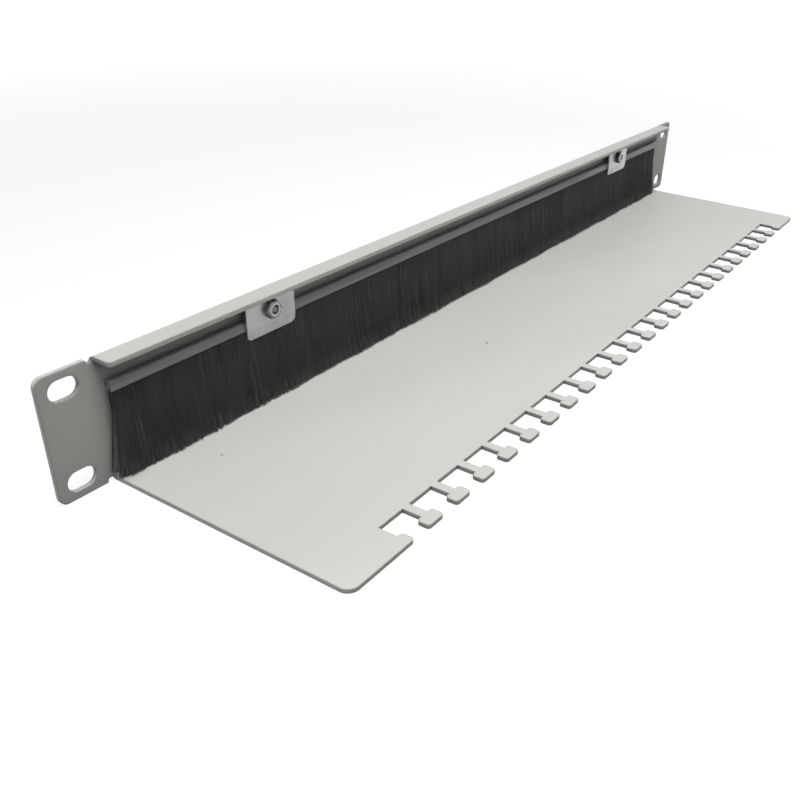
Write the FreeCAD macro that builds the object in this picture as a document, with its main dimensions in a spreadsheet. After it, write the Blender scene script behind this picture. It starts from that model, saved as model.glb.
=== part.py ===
"""Rack brush strip panel: a folded 1U steel panel with a cable tray, and a
strip brush that two clamp plates hold behind its window.

The frame is that of the rack. X runs along the panel, Y points into the rack
and Z points up. The origin is the centre of the four rack slots, on the rear
face of the front plate, which is the face that meets the rack's rails. The
lengths are in millimetres.
"""
import FreeCAD
import Part
import os
import Sketcher
from enum import IntEnum
from FreeCAD import Placement, Rotation, Vector

DIMENSIONS = [
    # The folded sheet
    ("rack_span", 465.1, "centres of the left and right rack slots"),
    ("ear_margin", 8.75, "slot centre to the side edge of the ear"),
    ("ear_root", 11.05, "slot centre to the side of the flange and tray"),
    ("panel_height", 44.0, "height of the ears"),
    ("flange_rise", 0.4, "top of the flange over the top of the ears"),
    ("sheet_gauge", 1.6, "coated thickness of the sheet"),
    ("flange_depth", 9.5, "top flange, from the front face"),
    ("tray_depth", 100.0, "tray, from the front face"),
    ("fold_radius", 0.4, "inside radius of both folds"),
    ("ear_radius", 3.0, "outer corners of the ears"),
    ("flange_corner_radius", 1.5, "rear corners of the flange"),
    ("tray_corner_radius", 4.0, "rear corners of the tray"),
    ("relief_width", 2.4, "fold relief beside each fold"),
    ("relief_depth", 1.5, "how far a relief cuts into the plate"),
    ("relief_radius", 0.9, "inner corners of a relief"),
    ("relief_mouth_radius", 0.4, "corner of the ear beside a relief"),
    # Rack slots in the ears
    ("rack_rise", 31.75, "centres of the lower and upper rack slots"),
    ("rack_slot_length", 10.4, "rack slot, along the panel"),
    ("rack_slot_height", 7.0, "rack slot, full round ends"),
    # Cable window in the front plate
    ("window_lap", 7.0, "window short of the brush at each end"),
    ("window_height", 26.0, "cable window"),
    ("window_sill", 4.0, "plate left under the window"),
    ("window_radius", 1.5, "corners of the window"),
    # Lacing edge of the tray
    ("notch_count", 25, "notches along the rear edge"),
    ("notch_pitch", 15.63, "from one notch to the next"),
    ("pocket_width", 12.2, "wide inner part of a notch"),
    ("pocket_depth", 7.2, "wide inner part of a notch"),
    ("mouth_width", 7.6, "narrow outer part of a notch"),
    ("mouth_depth", 4.8, "narrow outer part of a notch"),
    ("tab_radius", 1.2, "rounded corners of the tab heads"),
    # Strip brush
    ("brush_inset", 2.5, "brush short of the tray at each end"),
    ("holder_width", 2.8, "folded holder, front to rear"),
    ("holder_height", 3.5, "folded holder"),
    ("holder_gauge", 0.4, "sheet of the holder"),
    ("holder_back_radius", 1.3, "rounded back of the holder, outside"),
    ("holder_drop", 12.1, "top of the ears down to the mouth of the holder"),
    ("filament_clearance", 0.2, "between the filaments and the holder"),
    ("wire_diameter", 0.8, "core wire that the filaments are folded over"),
    ("wire_clearance", 0.05, "between the wire and the filaments"),
    ("fan_depth", 5.9, "rear face of the filaments at the tray"),
    ("fan_start", 6.4, "straight length under the holder"),
    ("front_clearance", 0.3, "between the filaments and the plate"),
    ("tip_clearance", 0.3, "between the filament tips and the tray"),
    ("tuft_pitch", 3.0, "from one bundle of filaments to the next"),
    ("tuft_groove_rear", 1.3, "groove between bundles, rear face"),
    ("tuft_groove_front", 0.5, "groove between bundles, front face"),
    # Clamps
    ("clamp_inset", 69.0, "end of the brush to the middle of a clamp"),
    ("clamp_width", 24.5, "clamp plate, along the panel"),
    ("clamp_gauge", 1.0, "sheet of a clamp plate"),
    ("clamp_corner_radius", 2.2, "lower corners of a clamp plate"),
    ("clamp_top_clearance", 0.3, "clamp plate to the flange"),
    ("clamp_lip", 3.8, "lower lip, under the holder"),
    ("clamp_lip_set", 0.4, "how far the lip is set towards the front"),
    ("stud_diameter", 2.85, "weld stud"),
    ("stud_clearance", 0.38, "stud over the back of the holder"),
    ("stud_chamfer", 0.4, "tip of the stud"),
    ("stud_recess", 0.3, "stud tip inside the nut"),
    ("clamp_hole_clearance", 0.4, "hole over stud, in diameter"),
    ("nut_flats", 6.35, "nut across the flats"),
    ("nut_height", 2.4, "nut"),
    ("nut_bore_clearance", 0.1, "bore over stud, in diameter"),
    ("nut_chamfer", 0.5, "height of the chamfer on the nut's corners"),
    ("nut_sink", 0.33, "countersink at both ends of the nut's bore"),
]
SHEET = "Dimensions"
TOLERANCE = 1e-4


class Spot(IntEnum):
    """Points of a sketch curve, by the numbers that the sketcher gives them."""

    START = 1
    END = 2
    CENTRE = 3


ORIGIN_POINT = (-1, Spot.START)

# Where each piece lies, in the words of the sheet
D = SHEET + "."
FRONT_FACE = f"-{D}sheet_gauge"
TOP = f"{D}panel_height / 2"
FLANGE_TOP = f"({TOP} + {D}flange_rise)"
FLANGE_UNDERSIDE = f"({FLANGE_TOP} - {D}sheet_gauge)"
TRAY_TOP = f"({D}sheet_gauge - {TOP})"
FLANGE_REAR = f"({D}flange_depth - {D}sheet_gauge)"
TRAY_REAR = f"({D}tray_depth - {D}sheet_gauge)"
SLOT_X = f"({D}rack_span / 2)"
EAR_SIDE = f"({SLOT_X} + {D}ear_margin)"
BODY_SIDE = f"({SLOT_X} - {D}ear_root)"
BRUSH_END = f"({BODY_SIDE} - {D}brush_inset)"
BRUSH_LENGTH = f"(2 * {BRUSH_END})"
CLAMP_X = f"({BRUSH_END} - {D}clamp_inset)"
HOLDER_MOUTH = f"({TOP} - {D}holder_drop)"
HOLDER_TOP = f"({HOLDER_MOUTH} + {D}holder_height)"
HOLDER_MIDDLE = f"({D}holder_width / 2)"
WRAP_RADIUS = f"({HOLDER_MIDDLE} - {D}holder_gauge - {D}filament_clearance)"
WIRE_HEIGHT = f"({HOLDER_TOP} - {HOLDER_MIDDLE})"
TIP_HEIGHT = f"({TRAY_TOP} + {D}tip_clearance)"
STUD_HEIGHT = f"({HOLDER_TOP} + {D}stud_clearance + {D}stud_diameter / 2)"
NUT_SEAT = f"({D}holder_width + {D}clamp_gauge)"


def make_sheet(document):
    """Put every driving dimension in a spreadsheet, under its own alias."""
    sheet = document.addObject("Spreadsheet::Sheet", SHEET)
    for row, (alias, value, meaning) in enumerate(DIMENSIONS, start=1):
        sheet.set(f"A{row}", alias)
        sheet.set(f"B{row}", str(value))
        sheet.set(f"C{row}", meaning)
        sheet.setAlias(f"B{row}", alias)
    document.recompute()
    return sheet


doc = FreeCAD.newDocument("RackBrushStripPanel")
sheet = make_sheet(doc)


def value(expression):
    """Number that an expression of the sheet's cells has now."""
    result = sheet.evalExpression(str(expression).replace(D, ""))
    return float(getattr(result, "Value", result))


def make_body(label):
    """Empty body under the label that names its file."""
    body = doc.addObject("PartDesign::Body", label)
    body.Label = label
    return body


def place(item, x="0", y="0", z="0"):
    """Bind an object's position to the sheet."""
    for axis, expression in zip("xyz", (x, y, z)):
        item.setExpression(f"Placement.Base.{axis}", str(expression))


def origin_plane(body, role):
    """One of the body's own origin planes."""
    for feature in body.Origin.OriginFeatures:
        if feature.Role == role:
            return feature
    raise ValueError(role)


def make_sketch(body, role, name, lift="0"):
    """Sketch on one of the body's origin planes, lifted off it by an expression."""
    sketch = body.newObject("Sketcher::SketchObject", name)
    sketch.AttachmentSupport = [(origin_plane(body, role), "")]
    sketch.MapMode = "FlatFace"
    if lift != "0":
        sketch.setExpression("AttachmentOffset.Base.z", lift)
    return sketch


def hold(sketch, kind, geometry, point, expression):
    """Hold one coordinate of a point at an expression's value.

    Args:
        sketch: sketch that owns the point.
        kind: "DistanceX" or "DistanceY".
        geometry: index of the curve.
        point: Spot.START, Spot.END or Spot.CENTRE of that curve.
        expression: signed coordinate, in the words of the sheet.
    """
    size = value(expression)
    if abs(size) < TOLERANCE:
        aligned = "Vertical" if kind == "DistanceX" else "Horizontal"
        sketch.addConstraint(Sketcher.Constraint(aligned, *ORIGIN_POINT, geometry, point))
        return
    ends = [*ORIGIN_POINT, geometry, point] if size > 0 else [geometry, point, *ORIGIN_POINT]
    index = sketch.addConstraint(Sketcher.Constraint(kind, *ends, abs(size)))
    signed = expression if size > 0 else f"-({expression})"
    sketch.setExpression(f"Constraints[{index}]", signed)


def add_polygon(sketch, corners):
    """Closed polygon whose corners are all held by expressions."""
    points = [Vector(value(x), value(y), 0) for x, y in corners]
    first = sketch.GeometryCount
    count = len(points)
    for index, point in enumerate(points):
        sketch.addGeometry(Part.LineSegment(point, points[(index + 1) % count]))
    for index, (x, y) in enumerate(corners):
        line = first + index
        before = first + (index - 1) % count
        sketch.addConstraint(Sketcher.Constraint("Coincident", before, Spot.END, line, Spot.START))
        hold(sketch, "DistanceX", line, Spot.START, x)
        hold(sketch, "DistanceY", line, Spot.START, y)


def add_outline(sketch, corners):
    """Closed outline of level and upright lines, with some corners rounded.

    Args:
        sketch: sketch that receives the outline.
        corners: (x, y, radius) of each corner, as expressions. A sharp corner
            has the radius None.
    """
    points = [Vector(value(x), value(y), 0) for x, y, _ in corners]
    radii = [0.0 if radius is None else value(radius) for _, _, radius in corners]
    count = len(corners)
    starts, ends = [], []
    for index in range(count):
        along = points[(index + 1) % count] - points[index]
        along.normalize()
        starts.append(points[index] + along * radii[index])
        ends.append(points[(index + 1) % count] - along * radii[(index + 1) % count])
    lines = [sketch.addGeometry(Part.LineSegment(a, b)) for a, b in zip(starts, ends)]
    for index in range(count):
        after = (index + 1) % count
        level = abs(points[after].y - points[index].y) < TOLERANCE
        sketch.addConstraint(Sketcher.Constraint("Horizontal" if level else "Vertical", lines[index]))
        kind = "DistanceY" if level else "DistanceX"
        hold(sketch, kind, lines[index], Spot.START, corners[index][1 if level else 0])
    for index in range(count):
        before = (index - 1) % count
        radius = corners[index][2]
        if radius is None:
            joint = Sketcher.Constraint("Coincident", lines[before], Spot.END, lines[index], Spot.START)
            sketch.addConstraint(joint)
            continue
        add_corner_arc(sketch, lines[before], lines[index], points[index], radii[index], radius)


def add_corner_arc(sketch, before, after, corner, radius, expression):
    """Arc tangent to two lines that would meet at a corner."""
    start = sketch.getPoint(before, Spot.END)
    end = sketch.getPoint(after, Spot.START)
    centre = start + end - corner
    middle = centre + (corner - centre).normalize() * radius
    arc = sketch.addGeometry(Part.Arc(start, middle, end))
    swapped = sketch.getPoint(arc, Spot.START).distanceToPoint(start) > TOLERANCE
    near, far = (Spot.END, Spot.START) if swapped else (Spot.START, Spot.END)
    sketch.addConstraint(Sketcher.Constraint("Tangent", before, Spot.END, arc, near))
    sketch.addConstraint(Sketcher.Constraint("Tangent", after, Spot.START, arc, far))
    index = sketch.addConstraint(Sketcher.Constraint("Radius", arc, radius))
    sketch.setExpression(f"Constraints[{index}]", expression)


def add_slot(sketch, x, y, length, height):
    """Level slot with full round ends about a centre."""
    reach = value(length) / 2 - value(height) / 2
    rise = value(height) / 2
    centre = Vector(value(x), value(y), 0)
    top_left = centre + Vector(-reach, rise, 0)
    top_right = centre + Vector(reach, rise, 0)
    low_left = centre + Vector(-reach, -rise, 0)
    low_right = centre + Vector(reach, -rise, 0)
    right_tip = centre + Vector(reach + rise, 0, 0)
    left_tip = centre - Vector(reach + rise, 0, 0)
    top = sketch.addGeometry(Part.LineSegment(top_left, top_right))
    low = sketch.addGeometry(Part.LineSegment(low_right, low_left))
    right = sketch.addGeometry(Part.Arc(low_right, right_tip, top_right))
    left = sketch.addGeometry(Part.Arc(top_left, left_tip, low_left))
    sketch.addConstraint(Sketcher.Constraint("Tangent", top, Spot.END, right, Spot.END))
    sketch.addConstraint(Sketcher.Constraint("Tangent", low, Spot.START, right, Spot.START))
    sketch.addConstraint(Sketcher.Constraint("Tangent", top, Spot.START, left, Spot.START))
    sketch.addConstraint(Sketcher.Constraint("Tangent", low, Spot.END, left, Spot.END))
    sketch.addConstraint(Sketcher.Constraint("Horizontal", top))
    sketch.addConstraint(Sketcher.Constraint("Equal", left, right))
    hold(sketch, "DistanceY", top, Spot.START, f"{y} + {height} / 2")
    index = sketch.addConstraint(Sketcher.Constraint("Radius", right, rise))
    sketch.setExpression(f"Constraints[{index}]", f"{height} / 2")
    hold(sketch, "DistanceX", right, Spot.CENTRE, f"{x} + {length} / 2 - {height} / 2")
    hold(sketch, "DistanceX", left, Spot.CENTRE, f"{x} - {length} / 2 + {height} / 2")


def add_circle(sketch, x, y, diameter):
    """Circle about a held centre."""
    middle = Vector(value(x), value(y), 0)
    circle = sketch.addGeometry(Part.Circle(middle, Vector(0, 0, 1), value(diameter) / 2))
    index = sketch.addConstraint(Sketcher.Constraint("Diameter", circle, value(diameter)))
    sketch.setExpression(f"Constraints[{index}]", diameter)
    hold(sketch, "DistanceX", circle, Spot.CENTRE, x)
    hold(sketch, "DistanceY", circle, Spot.CENTRE, y)


def pad(body, sketch, name, length, midplane=False, reversed_=False):
    """Raise a sketch into the body."""
    feature = body.newObject("PartDesign::Pad", name)
    feature.Profile = sketch
    feature.Midplane = midplane
    feature.Reversed = reversed_
    feature.setExpression("Length", length)
    doc.recompute()
    return feature


def cut(body, sketch, name, length=None, midplane=False, reversed_=False):
    """Cut a sketch out of the body, through all of it where no length is given."""
    before = body.Shape.Volume
    feature = body.newObject("PartDesign::Pocket", name)
    feature.Profile = sketch
    feature.Midplane = midplane
    feature.Reversed = reversed_
    if length is None:
        feature.Type = "ThroughAll"
    else:
        feature.setExpression("Length", length)
    doc.recompute()
    if body.Shape.Volume >= before - TOLERANCE:
        raise RuntimeError(f"{name} cuts nothing")
    return feature


def repeat(body, features, name, sketch, pitch, count):
    """Repeat features along the first axis of a sketch."""
    before = body.Shape.Volume
    pattern = body.newObject("PartDesign::LinearPattern", name)
    pattern.Originals = features
    pattern.Direction = (sketch, ["H_Axis"])
    pattern.Mode = "Spacing"
    pattern.setExpression("Offset", pitch)
    pattern.setExpression("Occurrences", count)
    body.Tip = pattern
    doc.recompute()
    if abs(body.Shape.Volume - before) < TOLERANCE:
        raise RuntimeError(f"{name} repeats nothing")
    return pattern


def straight_edges(shape, direction, test):
    """Names of the straight edges along a direction whose middle passes a test."""
    names = []
    for index, edge in enumerate(shape.Edges, start=1):
        if edge.Curve.TypeId != "Part::GeomLine":
            continue
        if abs(edge.Curve.Direction.dot(direction)) < 1 - TOLERANCE:
            continue
        if test(edge.CenterOfMass):
            names.append(f"Edge{index}")
    return names


def round_edges(body, base, name, radius, direction, test):
    """Fillet the chosen edges of a feature."""
    feature = body.newObject("PartDesign::Fillet", name)
    feature.Base = (base, straight_edges(base.Shape, direction, test))
    feature.setExpression("Radius", radius)
    body.Tip = feature
    doc.recompute()
    return feature


def near(left, right):
    """Whether two lengths are the same."""
    return abs(left - right) < TOLERANCE


def make_panel():
    """Folded sheet: front plate with ears, flange, tray, window and lacing edge."""
    body = make_body("panel")
    bend = f"{D}fold_radius"
    outer_bend = f"{D}fold_radius + {D}sheet_gauge"

    profile = make_sketch(body, "YZ_Plane", "fold_profile")
    add_outline(profile, [
        (FRONT_FACE, f"-{TOP}", outer_bend),
        (TRAY_REAR, f"-{TOP}", None),
        (TRAY_REAR, TRAY_TOP, None),
        ("0", TRAY_TOP, bend),
        ("0", FLANGE_UNDERSIDE, bend),
        (FLANGE_REAR, FLANGE_UNDERSIDE, None),
        (FLANGE_REAR, FLANGE_TOP, None),
        (FRONT_FACE, FLANGE_TOP, outer_bend),
    ])
    blank = pad(body, profile, "folded_sheet", f"2 * {BODY_SIDE}", midplane=True)
    upright = Vector(0, 0, 1)
    rounded = round_edges(
        body, blank, "tray_corners", f"{D}tray_corner_radius", upright,
        lambda point: near(point.y, value(TRAY_REAR)),
    )
    round_edges(
        body, rounded, "flange_corners", f"{D}flange_corner_radius", upright,
        lambda point: near(point.y, value(FLANGE_REAR)),
    )

    ears = make_sketch(body, "XZ_Plane", "ear_outlines")
    for side in ("", "-"):
        inner = f"{side}{BODY_SIDE}"
        outer = f"{side}{EAR_SIDE}"
        add_outline(ears, [
            (inner, f"-{TOP}", None),
            (outer, f"-{TOP}", f"{D}ear_radius"),
            (outer, TOP, f"{D}ear_radius"),
            (inner, TOP, None),
        ])
    pad(body, ears, "ears", f"{D}sheet_gauge")

    reliefs = make_sketch(body, "XZ_Plane", "fold_reliefs")
    for side in ("", "-"):
        for end in ("", "-"):
            inner = f"{side}{BODY_SIDE}"
            outer = f"{side}({BODY_SIDE} + {D}relief_width)"
            floor = f"{end}({TOP} - {D}relief_depth)"
            mouth = f"{end}{TOP}"
            mouth_side = f"{side}({BODY_SIDE} + 2 * {D}relief_width)"
            beyond = f"{end}({TOP} + {D}relief_depth)"
            add_outline(reliefs, [
                (inner, beyond, None),
                (inner, floor, f"{D}relief_radius"),
                (outer, floor, f"{D}relief_radius"),
                (outer, mouth, f"{D}relief_mouth_radius"),
                (mouth_side, mouth, None),
                (mouth_side, beyond, None),
            ])
    cut(body, reliefs, "reliefs", midplane=True)

    slots = make_sketch(body, "XZ_Plane", "rack_slot_outlines")
    for side in ("", "-"):
        for end in ("", "-"):
            add_slot(
                slots,
                f"{side}{SLOT_X}",
                f"{end}{D}rack_rise / 2",
                f"{D}rack_slot_length",
                f"{D}rack_slot_height",
            )
    cut(body, slots, "rack_slots", midplane=True)

    window = make_sketch(body, "XZ_Plane", "window_outline")
    sill = f"({D}window_sill - {TOP})"
    head = f"({sill} + {D}window_height)"
    jamb = f"({BRUSH_END} - {D}window_lap)"
    add_outline(window, [
        (f"-{jamb}", sill, f"{D}window_radius"),
        (jamb, sill, f"{D}window_radius"),
        (jamb, head, f"{D}window_radius"),
        (f"-{jamb}", head, f"{D}window_radius"),
    ])
    cut(body, window, "window", midplane=True)

    notch = make_sketch(body, "XY_Plane", "notch_outline")
    middle = f"(-{D}notch_pitch * ({D}notch_count - 1) / 2)"
    step = f"({TRAY_REAR} - {D}mouth_depth)"
    floor = f"({step} - {D}pocket_depth)"
    mouth_left = f"({middle} - {D}mouth_width / 2)"
    mouth_right = f"({middle} + {D}mouth_width / 2)"
    pocket_left = f"({middle} - {D}pocket_width / 2)"
    pocket_right = f"({middle} + {D}pocket_width / 2)"
    beyond = f"({TRAY_REAR} + {D}mouth_depth)"
    tab_side = f"({D}notch_pitch - {D}mouth_width) / 4"
    add_outline(notch, [
        (pocket_left, floor, None),
        (pocket_right, floor, None),
        (pocket_right, step, None),
        (mouth_right, step, f"{D}tab_radius"),
        (mouth_right, TRAY_REAR, f"{D}tab_radius"),
        (f"({mouth_right} + {tab_side})", TRAY_REAR, None),
        (f"({mouth_right} + {tab_side})", beyond, None),
        (f"({mouth_left} - {tab_side})", beyond, None),
        (f"({mouth_left} - {tab_side})", TRAY_REAR, None),
        (mouth_left, TRAY_REAR, f"{D}tab_radius"),
        (mouth_left, step, f"{D}tab_radius"),
        (pocket_left, step, None),
    ])
    first = cut(body, notch, "notch", midplane=True)
    repeat(body, [first], "lacing_edge", notch, f"{D}notch_pitch", f"{D}notch_count")
    return body


def make_brush_channel():
    """Folded metal holder of the strip brush, open at the bottom."""
    body = make_body("brush_channel")
    outer = make_sketch(body, "YZ_Plane", "holder_outline")
    back = f"{D}holder_back_radius"
    add_outline(outer, [
        ("0", HOLDER_MOUTH, None),
        (f"{D}holder_width", HOLDER_MOUTH, None),
        (f"{D}holder_width", HOLDER_TOP, back),
        ("0", HOLDER_TOP, back),
    ])
    pad(body, outer, "holder_blank", BRUSH_LENGTH, midplane=True)

    inner = make_sketch(body, "YZ_Plane", "holder_hollow")
    inner_back = f"{back} - {D}holder_gauge"
    inner_top = f"({HOLDER_TOP} - {D}holder_gauge)"
    far_wall = f"({D}holder_width - {D}holder_gauge)"
    below = f"({HOLDER_MOUTH} - {D}holder_gauge)"
    add_outline(inner, [
        (f"{D}holder_gauge", below, None),
        (far_wall, below, None),
        (far_wall, inner_top, inner_back),
        (f"{D}holder_gauge", inner_top, inner_back),
    ])
    cut(body, inner, "hollow", midplane=True)
    return body


def make_core_wire():
    """Wire in the back of the holder that the filaments are folded over."""
    wire = doc.addObject("Part::Cylinder", "core_wire")
    wire.Label = "core_wire"
    wire.setExpression("Radius", f"{D}wire_diameter / 2")
    wire.setExpression("Height", BRUSH_LENGTH)
    wire.Placement = Placement(Vector(), Rotation(Vector(0, 1, 0), 90))
    place(wire, f"-{BRUSH_END}", HOLDER_MIDDLE, WIRE_HEIGHT)
    return wire


def make_bristles():
    """Curtain of filaments that hangs from the holder and fans out to the tray."""
    body = make_body("bristles")
    front = f"({HOLDER_MIDDLE} - {WRAP_RADIUS})"
    rear = f"({HOLDER_MIDDLE} + {WRAP_RADIUS})"
    fan_top = f"({HOLDER_MOUTH} - {D}fan_start)"

    side_view = make_sketch(body, "YZ_Plane", "curtain_outline")
    add_polygon(side_view, [
        (f"{D}front_clearance", f"({TIP_HEIGHT} + {D}fold_radius)"),
        (f"({D}front_clearance + {D}fold_radius)", TIP_HEIGHT),
        (f"{D}fan_depth", TIP_HEIGHT),
        (rear, fan_top),
        (rear, WIRE_HEIGHT),
        (front, WIRE_HEIGHT),
        (front, HOLDER_MOUTH),
        (f"{D}front_clearance", fan_top),
    ])
    pad(body, side_view, "curtain", BRUSH_LENGTH, midplane=True)

    fold = make_sketch(body, "YZ_Plane", "fold_outline")
    add_circle(fold, HOLDER_MIDDLE, WIRE_HEIGHT, f"2 * {WRAP_RADIUS}")
    pad(body, fold, "fold_over_wire", BRUSH_LENGTH, midplane=True)

    hole = make_sketch(body, "YZ_Plane", "wire_hole_outline")
    add_circle(hole, HOLDER_MIDDLE, WIRE_HEIGHT, f"({D}wire_diameter + 2 * {D}wire_clearance)")
    cut(body, hole, "wire_hole", midplane=True)

    first = f"({D}tuft_pitch - {BRUSH_END})"
    grooves = []
    for name, face, tip in (
        ("rear", f"{D}fan_depth", f"({D}fan_depth - {D}tuft_groove_rear)"),
        ("front", f"{D}front_clearance", f"({D}front_clearance + {D}tuft_groove_front)"),
    ):
        groove = make_sketch(body, "XY_Plane", f"{name}_groove_outline", TIP_HEIGHT)
        half_mouth = f"{D}tuft_pitch / 2"
        outside = f"(2 * {face} - {tip})"
        add_polygon(groove, [
            (f"({first} - {half_mouth})", outside),
            (f"({first} + {half_mouth})", outside),
            (first, tip),
        ])
        length = f"{fan_top} - {TIP_HEIGHT}"
        grooves.append(cut(body, groove, f"{name}_groove", length, reversed_=True))
    count = f"{BRUSH_LENGTH} / {D}tuft_pitch - 1"
    repeat(body, grooves, "bundles", groove, f"{D}tuft_pitch", count)
    return body


def make_clamp_plate(label, side):
    """Clamp plate that presses the holder on the panel, with a lip set forward."""
    body = make_body(label)
    top = f"({FLANGE_UNDERSIDE} - {D}clamp_top_clearance)"
    foot = f"({HOLDER_MOUTH} - {D}clamp_lip)"
    profile = make_sketch(body, "YZ_Plane", f"{label}_profile")
    add_polygon(profile, [
        (f"(-{D}clamp_lip_set)", foot),
        (f"({D}clamp_gauge - {D}clamp_lip_set)", foot),
        (f"{D}clamp_gauge", HOLDER_MOUTH),
        (f"{D}clamp_gauge", top),
        ("0", top),
        ("0", HOLDER_MOUTH),
    ])
    pad(body, profile, f"{label}_sheet", f"{D}clamp_width", midplane=True)
    hole = make_sketch(body, "XZ_Plane", f"{label}_hole_outline")
    add_circle(hole, "0", STUD_HEIGHT, f"({D}stud_diameter + {D}clamp_hole_clearance)")
    drilled = cut(body, hole, f"{label}_hole", midplane=True)
    low = value(foot)
    round_edges(
        body, drilled, f"{label}_corners", f"{D}clamp_corner_radius", Vector(0, 1, 0),
        lambda point: near(point.z, low),
    )
    place(body, f"{side}{CLAMP_X}", f"{D}holder_width")
    return body


def make_weld_stud(label, side):
    """Stud welded to the rear face of the panel."""
    body = make_body(label)
    outline = make_sketch(body, "XZ_Plane", f"{label}_outline")
    add_circle(outline, "0", "0", f"{D}stud_diameter")
    length = f"{NUT_SEAT} + {D}nut_height - {D}stud_recess"
    shank = pad(body, outline, f"{label}_shank", length, reversed_=True)
    tip = body.newObject("PartDesign::Chamfer", f"{label}_tip")
    ends = [
        f"Edge{index}"
        for index, edge in enumerate(shank.Shape.Edges, start=1)
        if edge.Curve.TypeId == "Part::GeomCircle" and edge.CenterOfMass.y > TOLERANCE
    ]
    tip.Base = (shank, ends)
    tip.setExpression("Size", f"{D}stud_chamfer")
    body.Tip = tip
    place(body, f"{side}{CLAMP_X}", "0", STUD_HEIGHT)
    return body


def make_nut(label, side):
    """Hexagon nut on the stud, with a flat on top, chamfered on both faces."""
    body = make_body(label)
    half = f"({D}nut_flats / 2)"
    corner = f"({D}nut_flats / sqrt(3))"
    bore_diameter = f"({D}stud_diameter + {D}nut_bore_clearance)"
    outline = make_sketch(body, "XZ_Plane", f"{label}_outline")
    add_polygon(outline, [
        (corner, "0"),
        (f"({corner} / 2)", half),
        (f"(-{corner} / 2)", half),
        (f"-{corner}", "0"),
        (f"(-{corner} / 2)", f"-{half}"),
        (f"({corner} / 2)", f"-{half}"),
    ])
    pad(body, outline, f"{label}_blank", f"{D}nut_height", reversed_=True)
    bore = make_sketch(body, "XZ_Plane", f"{label}_bore_outline")
    add_circle(bore, "0", "0", bore_diameter)
    cut(body, bore, f"{label}_bore", midplane=True)
    chamfers = make_sketch(body, "YZ_Plane", f"{label}_chamfer_outlines")
    inner = f"({corner} - {D}nut_chamfer * sqrt(3))"
    outer = f"({corner} + {D}nut_chamfer)"
    add_polygon(chamfers, [
        ("0", inner),
        (f"{D}nut_chamfer * (1 + 1 / sqrt(3))", outer),
        ("0", outer),
    ])
    add_polygon(chamfers, [
        (f"{D}nut_height", inner),
        (f"{D}nut_height", outer),
        (f"{D}nut_height - {D}nut_chamfer * (1 + 1 / sqrt(3))", outer),
    ])
    sink_rim = f"({bore_diameter} / 2 + {D}nut_sink)"
    sink_foot = f"({bore_diameter} / 2 - {D}nut_sink)"
    add_polygon(chamfers, [
        ("0", sink_foot),
        (f"2 * {D}nut_sink", sink_foot),
        ("0", sink_rim),
    ])
    add_polygon(chamfers, [
        (f"{D}nut_height", sink_foot),
        (f"{D}nut_height", sink_rim),
        (f"{D}nut_height - 2 * {D}nut_sink", sink_foot),
    ])
    before = body.Shape.Volume
    groove = body.newObject("PartDesign::Groove", f"{label}_chamfers")
    groove.Profile = chamfers
    groove.ReferenceAxis = (chamfers, ["H_Axis"])
    groove.Angle = 360
    doc.recompute()
    if body.Shape.Volume >= before - TOLERANCE:
        raise RuntimeError(f"{label} has no chamfers")
    place(body, f"{side}{CLAMP_X}", NUT_SEAT, STUD_HEIGHT)
    return body


def check(document, pieces):
    """Stop where a feature has failed or a piece isn't one sound solid."""
    document.recompute()
    for item in document.Objects:
        if "Invalid" in item.State or "Error" in item.State:
            raise RuntimeError(f"{item.Label} failed: {item.State}")
    for piece in pieces:
        shape = piece.Shape
        if shape.isNull() or not shape.isValid() or len(shape.Solids) != 1:
            raise RuntimeError(f"{piece.Label} isn't one valid solid")


def main():
    """Build every piece, check it and write its file."""
    pieces = [make_panel(), make_brush_channel(), make_core_wire(), make_bristles()]
    for hand, side in (("left", "-"), ("right", "")):
        pieces.append(make_clamp_plate(f"clamp_plate_{hand}", side))
        pieces.append(make_weld_stud(f"weld_stud_{hand}", side))
        pieces.append(make_nut(f"nut_{hand}", side))
    check(doc, pieces)
    os.makedirs("parts", exist_ok=True)
    for piece in pieces:
        piece.Shape.exportStep(f"parts/{piece.Label}.step")
        print(f"{piece.Label}: volume {piece.Shape.Volume:.2f}")


main()
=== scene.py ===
"""Looks of the rack brush strip panel: its powder coat, its zinc plated clamps, the
loose filaments of its strip brush, and a plain studio round it.

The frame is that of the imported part. X runs along the panel, Y points into the
rack and Z points up. The origin is the centre of the four rack slots, on the
rear face of the front plate. The lengths are in metres. Left is -X.
"""
import logging
import math
from dataclasses import dataclass, field
from enum import Enum

import bpy
import numpy as np
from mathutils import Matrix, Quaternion, Vector


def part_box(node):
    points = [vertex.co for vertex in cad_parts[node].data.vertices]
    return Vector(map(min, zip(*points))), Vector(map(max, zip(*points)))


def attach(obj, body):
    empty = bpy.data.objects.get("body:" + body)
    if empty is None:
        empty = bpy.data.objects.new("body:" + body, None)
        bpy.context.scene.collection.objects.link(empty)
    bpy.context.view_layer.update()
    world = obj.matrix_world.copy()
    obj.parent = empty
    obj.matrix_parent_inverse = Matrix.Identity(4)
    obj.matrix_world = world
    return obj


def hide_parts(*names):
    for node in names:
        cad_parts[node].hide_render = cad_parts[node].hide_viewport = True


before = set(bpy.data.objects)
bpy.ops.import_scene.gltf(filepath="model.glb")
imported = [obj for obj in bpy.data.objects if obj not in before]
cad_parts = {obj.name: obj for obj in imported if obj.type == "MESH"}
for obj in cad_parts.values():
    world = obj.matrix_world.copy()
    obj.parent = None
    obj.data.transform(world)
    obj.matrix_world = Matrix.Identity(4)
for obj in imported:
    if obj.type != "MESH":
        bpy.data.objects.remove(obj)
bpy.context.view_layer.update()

LOG = logging.getLogger("rack_brush_strip_panel")
BODY = "root"
MILLIMETRE = 0.001

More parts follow.
